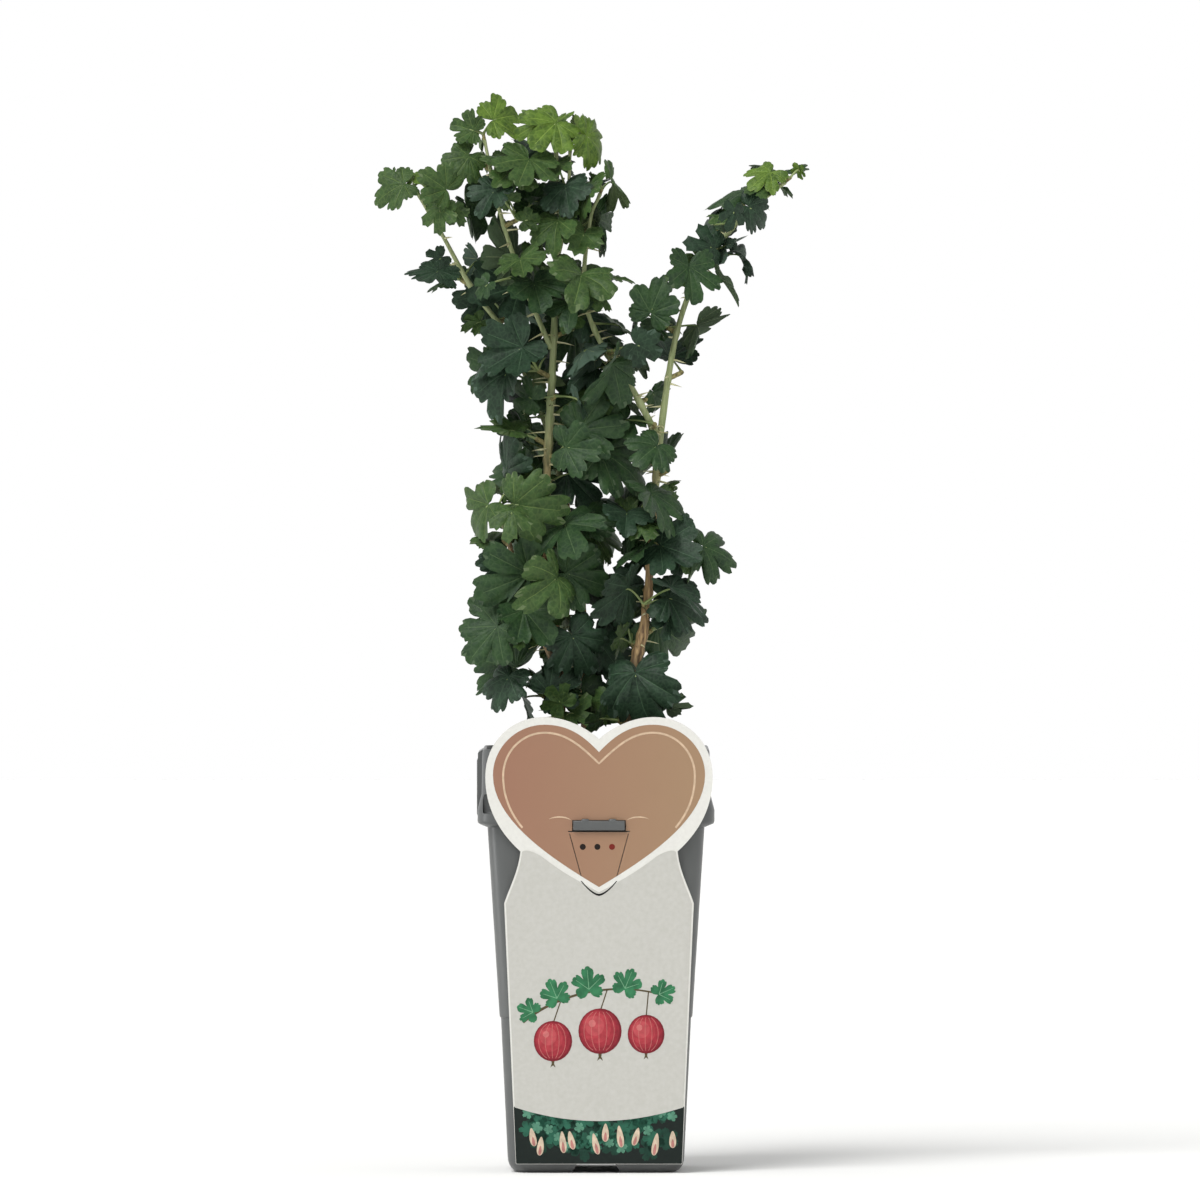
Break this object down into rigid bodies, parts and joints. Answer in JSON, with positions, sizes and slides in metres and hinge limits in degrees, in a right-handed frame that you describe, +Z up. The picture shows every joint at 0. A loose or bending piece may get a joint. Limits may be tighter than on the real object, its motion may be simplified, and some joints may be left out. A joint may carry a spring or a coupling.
{
  "type": "potted gooseberry bush",
  "caption": "Young gooseberry bush with lobed leaves on thorny canes, in a tall square tapered nursery pot with soil and a heart-topped card label.",
  "frame": {"origin": "middle of the pot's underside, on the surface that it stands on", "axes": "+Z up; -Y is the front, where the card label hangs; +X is to the right seen from the front"},
  "size_m": [0.2182, 0.1254, 0.5389],
  "materials": {
    "pot_plastic": "satin",
    "potting_soil": "matte",
    "card": "satin",
    "bark": "matte",
    "leaf": "satin",
    "young_leaf": "satin"
  },
  "bodies": {
    "root": {"bough_left": "bark", "bough_low": "bark", "bough_middle": "bark", "bough_top": "bark", "label_card": "card", "leaves_back_33": "leaf", "leaves_back_34": "leaf", "leaves_back_35": "leaf", "leaves_back_36": "leaf", "leaves_back_37": "leaf", "leaves_back_38": "leaf", "leaves_back_39": "leaf", "leaves_back_40": "leaf", "leaves_left_42": "leaf", "leaves_left_43": "leaf", "leaves_left_44": "leaf", "leaves_low_41": "leaf", "leaves_main_08": "leaf", "leaves_main_09": "leaf", "leaves_main_10": "leaf", "leaves_main_11": "leaf", "leaves_main_12": "leaf", "leaves_main_13": "leaf", "leaves_main_14": "leaf", "leaves_main_15": "leaf", "leaves_main_16": "leaf", "leaves_main_17": "leaf", "leaves_main_18": "leaf", "leaves_main_19": "leaf", "leaves_main_20": "leaf", "leaves_middle_45": "leaf", "leaves_middle_46": "leaf", "leaves_middle_47": "leaf", "leaves_right_21": "leaf", "leaves_right_22": "leaf", "leaves_right_23": "leaf", "leaves_right_24": "leaf", "leaves_right_25": "leaf", "leaves_right_26": "leaf", "leaves_right_27": "leaf", "leaves_right_28": "leaf", "leaves_right_29": "leaf", "leaves_right_30": "leaf", "leaves_right_31": "leaf", "leaves_right_32": "leaf", "pot": "pot_plastic", "soil": "potting_soil", "stem_back": "bark", "stem_main": "bark", "stem_right": "bark", "tip_back_03": "young_leaf", "tip_left_04": "young_leaf", "tip_low_06": "young_leaf", "tip_main_01": "young_leaf", "tip_middle_07": "young_leaf", "tip_right_02": "young_leaf", "tip_top_05": "young_leaf"}
  },
  "joints": []
}
